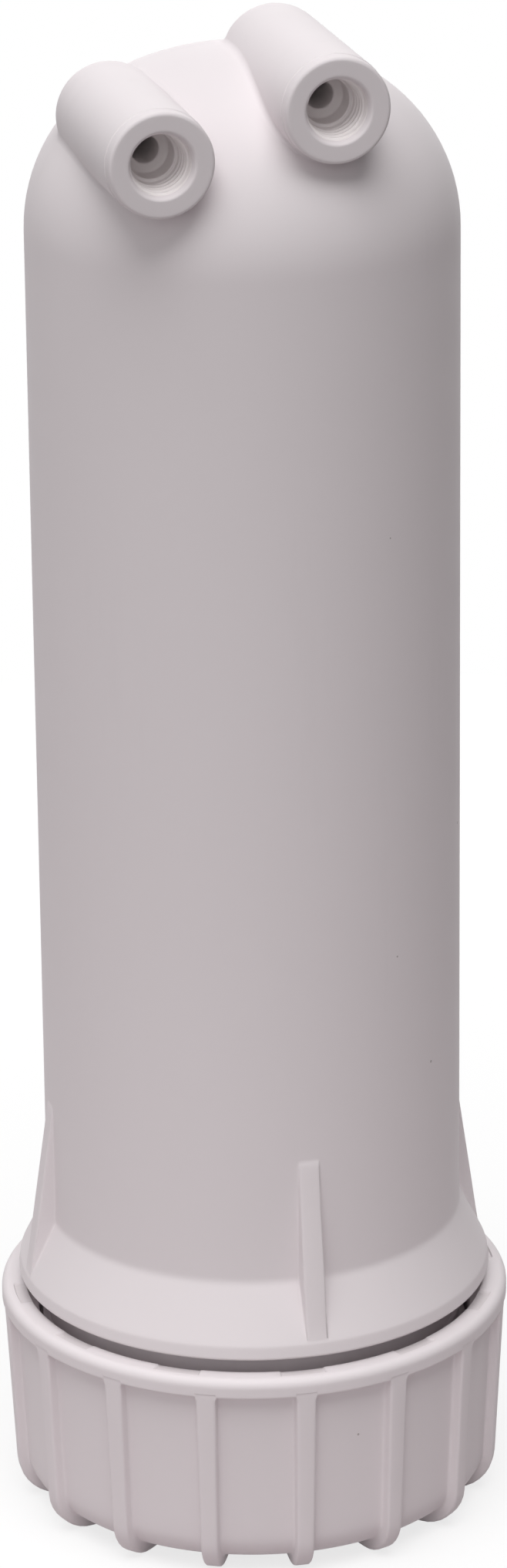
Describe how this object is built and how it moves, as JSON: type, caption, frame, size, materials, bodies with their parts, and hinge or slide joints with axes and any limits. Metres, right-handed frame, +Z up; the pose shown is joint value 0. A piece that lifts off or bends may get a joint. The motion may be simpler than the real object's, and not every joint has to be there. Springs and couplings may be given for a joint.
{
  "type": "membrane pressure vessel",
  "caption": "Domed plastic pressure vessel for a spiral-wound water membrane, with threaded outlet ports on its dome and a ribbed screw cap that it stands on.",
  "frame": {"origin": "on the vessel's axis, in the plane of the cap's feet", "axes": "+Z up along the vessel's axis towards the dome, -Y the way the outlet ports face, +X towards the permeate port's side"},
  "size_m": [0.1156, 0.1156, 0.3453],
  "materials": {
    "housing": "satin",
    "rubber": "satin",
    "core": "satin",
    "plug": "satin",
    "membrane": "matte",
    "wrap": "satin"
  },
  "bodies": {
    "cap": {"screw_cap": "housing"},
    "seal": {"cap_o_ring": "rubber"},
    "vessel": {"vessel_body": "housing", "permeate_tube": "core", "core_plug": "plug", "membrane_roll": "membrane", "outer_wrap": "wrap", "brine_seal": "rubber", "lower_core_o_ring": "rubber", "upper_core_o_ring": "rubber"}
  },
  "joints": [
    {"name": "vessel_turn", "type": "hinge", "parent": "cap", "child": "seal", "pos_m": [0, 0, 0.01], "axis": [0, 0, 1], "range_deg": [0, 1440]},
    {"name": "vessel_rise", "type": "slide", "parent": "seal", "child": "vessel", "axis": [0, 0, 1], "range_m": [0, 0.024]}
  ],
  "couplings": [
    {"joint": "vessel_rise", "follows": "vessel_turn", "m_per_rad": 0.00095493}
  ]
}
